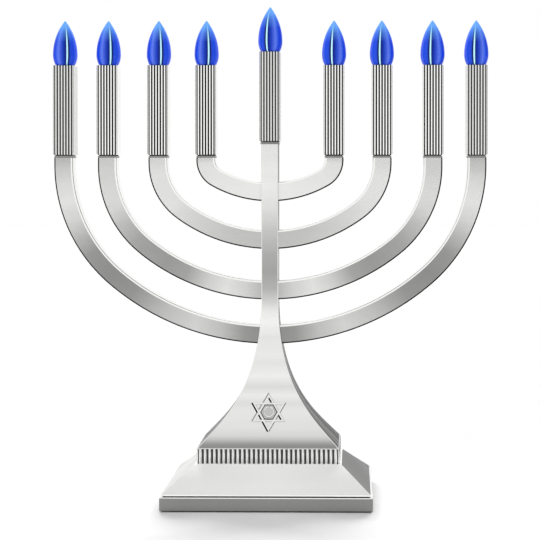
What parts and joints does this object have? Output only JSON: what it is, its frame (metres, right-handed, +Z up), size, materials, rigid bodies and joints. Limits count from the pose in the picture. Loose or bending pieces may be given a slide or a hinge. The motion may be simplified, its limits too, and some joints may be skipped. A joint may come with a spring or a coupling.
{
  "type": "menorah",
  "caption": "Electric candelabrum with curved square arms, reeded square sleeves, flame-shaped lamps and a flared foot on a stepped rectangular base",
  "frame": {"origin": "on the floor under the middle of the base", "axes": "+Z up, the front with the star faces -Y, +X to the viewer's right"},
  "size_m": [0.2726, 0.0864, 0.305],
  "materials": {
    "satin_silver": "satin silver plating over a die-cast alloy",
    "bright_silver": "brighter polished plating on raised edges",
    "blue_lens": "transparent deep blue moulded lens",
    "white_plastic": "white moulded plastic",
    "dark_plastic": "dark moulded plastic",
    "grey_plastic": "grey moulded plastic, fine texture",
    "black_rubber": "matte rubber",
    "board_green": "green circuit board with solder mask",
    "contact_metal": "nickel plated spring steel",
    "screw_steel": "zinc plated steel"
  },
  "bodies": {
    "root": {"base_rim": "satin_silver", "base_shell": "satin_silver", "fluted_band": "satin_silver", "bottom_plate": "grey_plastic", "battery_tray": "grey_plastic", "battery_contacts": "contact_metal", "circuit_board": "board_green", "charging_inlet": "contact_metal", "rubber_feet": "black_rubber", "base_screws": "screw_steel", "column_front_shell": "satin_silver", "column_rear_shell": "satin_silver", "column_screws": "screw_steel", "star_emblem": "bright_silver", "tact_switch": "dark_plastic", "switch_board": "board_green", "arm_right_1": "satin_silver", "arm_right_2": "satin_silver", "arm_right_3": "satin_silver", "arm_right_4": "satin_silver", "arm_left_1": "satin_silver", "arm_left_2": "satin_silver", "arm_left_3": "satin_silver", "arm_left_4": "satin_silver", "sleeve_right_1": "satin_silver", "sleeve_right_2": "satin_silver", "sleeve_right_3": "satin_silver", "sleeve_right_4": "satin_silver", "sleeve_left_1": "satin_silver", "sleeve_left_2": "satin_silver", "sleeve_left_3": "satin_silver", "sleeve_left_4": "satin_silver", "sleeve_centre": "satin_silver", "lamp_sockets": "dark_plastic", "wiring_harness": "dark_plastic"},
    "lamp_left_4": {"flame_lens_left_4": "blue_lens", "lamp_plug_left_4": "white_plastic"},
    "lamp_left_3": {"flame_lens_left_3": "blue_lens", "lamp_plug_left_3": "white_plastic"},
    "lamp_left_2": {"flame_lens_left_2": "blue_lens", "lamp_plug_left_2": "white_plastic"},
    "lamp_left_1": {"flame_lens_left_1": "blue_lens", "lamp_plug_left_1": "white_plastic"},
    "lamp_centre": {"flame_lens_centre": "blue_lens", "lamp_plug_centre": "white_plastic"},
    "lamp_right_1": {"flame_lens_right_1": "blue_lens", "lamp_plug_right_1": "white_plastic"},
    "lamp_right_2": {"flame_lens_right_2": "blue_lens", "lamp_plug_right_2": "white_plastic"},
    "lamp_right_3": {"flame_lens_right_3": "blue_lens", "lamp_plug_right_3": "white_plastic"},
    "lamp_right_4": {"flame_lens_right_4": "blue_lens", "lamp_plug_right_4": "white_plastic"},
    "power_button": {"power_button": "bright_silver"},
    "battery_door": {"battery_door": "grey_plastic"}
  },
  "joints": [
    {"name": "lamp_twist_left_4", "type": "hinge", "parent": "root", "child": "lamp_left_4", "pos_m": [-0.1287, 0, 0.2694], "axis": [0, 0, 1], "range_deg": [0, 90]},
    {"name": "lamp_twist_left_3", "type": "hinge", "parent": "root", "child": "lamp_left_3", "pos_m": [-0.1014, 0, 0.2694], "axis": [0, 0, 1], "range_deg": [0, 90]},
    {"name": "lamp_twist_left_2", "type": "hinge", "parent": "root", "child": "lamp_left_2", "pos_m": [-0.0698, 0, 0.2694], "axis": [0, 0, 1], "range_deg": [0, 90]},
    {"name": "lamp_twist_left_1", "type": "hinge", "parent": "root", "child": "lamp_left_1", "pos_m": [-0.0399, 0, 0.2694], "axis": [0, 0, 1], "range_deg": [0, 90]},
    {"name": "lamp_twist_centre", "type": "hinge", "parent": "root", "child": "lamp_centre", "pos_m": [0, 0, 0.2778], "axis": [0, 0, 1], "range_deg": [0, 90]},
    {"name": "lamp_twist_right_1", "type": "hinge", "parent": "root", "child": "lamp_right_1", "pos_m": [0.0399, 0, 0.2694], "axis": [0, 0, 1], "range_deg": [0, 90]},
    {"name": "lamp_twist_right_2", "type": "hinge", "parent": "root", "child": "lamp_right_2", "pos_m": [0.0698, 0, 0.2694], "axis": [0, 0, 1], "range_deg": [0, 90]},
    {"name": "lamp_twist_right_3", "type": "hinge", "parent": "root", "child": "lamp_right_3", "pos_m": [0.1014, 0, 0.2694], "axis": [0, 0, 1], "range_deg": [0, 90]},
    {"name": "lamp_twist_right_4", "type": "hinge", "parent": "root", "child": "lamp_right_4", "pos_m": [0.1287, 0, 0.2694], "axis": [0, 0, 1], "range_deg": [0, 90]},
    {"name": "button_press", "type": "slide", "parent": "root", "child": "power_button", "axis": [0, 0.9413, -0.3377], "range_m": [0, 0.0008], "stiffness_N_per_m": 800},
    {"name": "door_slide", "type": "slide", "parent": "root", "child": "battery_door", "axis": [0, 1, 0], "range_m": [0, 0.055]}
  ]
}
